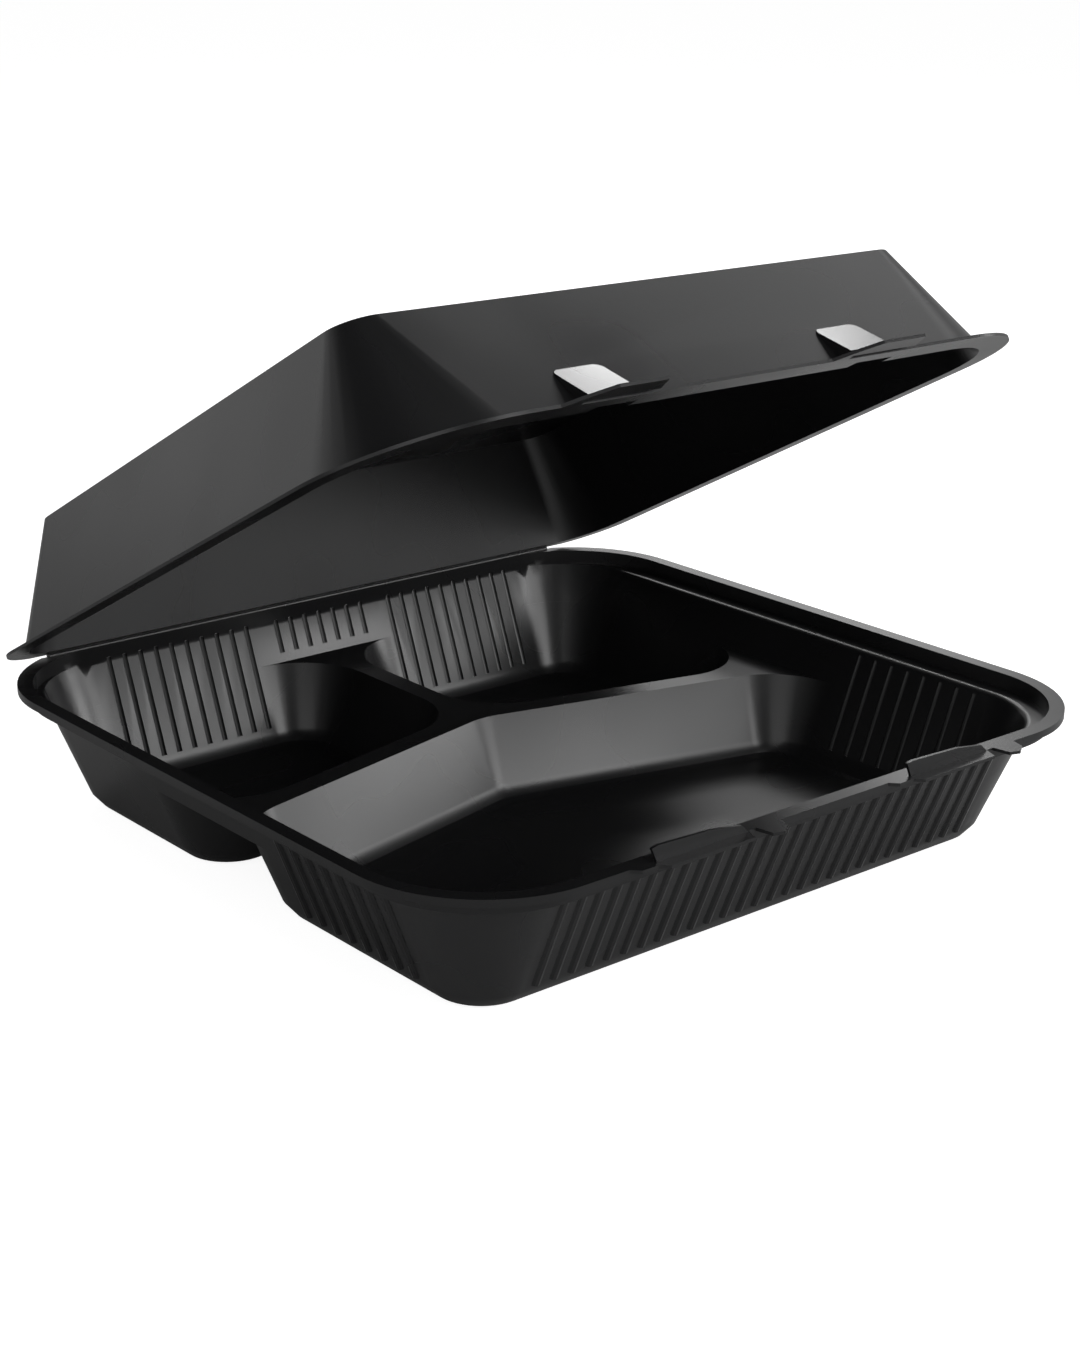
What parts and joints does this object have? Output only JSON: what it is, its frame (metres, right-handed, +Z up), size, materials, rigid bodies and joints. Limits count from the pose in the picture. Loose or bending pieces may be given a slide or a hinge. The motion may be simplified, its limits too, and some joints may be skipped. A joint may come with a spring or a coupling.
{
  "type": "hinged takeout container",
  "caption": "Black plastic hinged-lid takeout container with a large front well, small back wells, ribbed walls, stepped rim and snap locks, lid part open.",
  "frame": {"origin": "middle of the tray on the plane it stands on", "axes": "+X along the hinge, +Y from the front locks to the hinge, +Z up"},
  "size_m": [0.224, 0.2176, 0.152],
  "materials": {
    "black_sheet": "satin black mineral-filled polypropylene sheet, thermoformed",
    "black_sheet_lid": "satin black mineral-filled polypropylene sheet, thermoformed"
  },
  "bodies": {
    "tray": {"tray": "black_sheet"},
    "lid": {"lid": "black_sheet_lid"}
  },
  "joints": [
    {"name": "lid_hinge", "type": "hinge", "parent": "tray", "child": "lid", "pos_m": [0, 0.104, 0.0377], "axis": [-1, 0, 0], "range_deg": [-28.2, 151.8]}
  ]
}
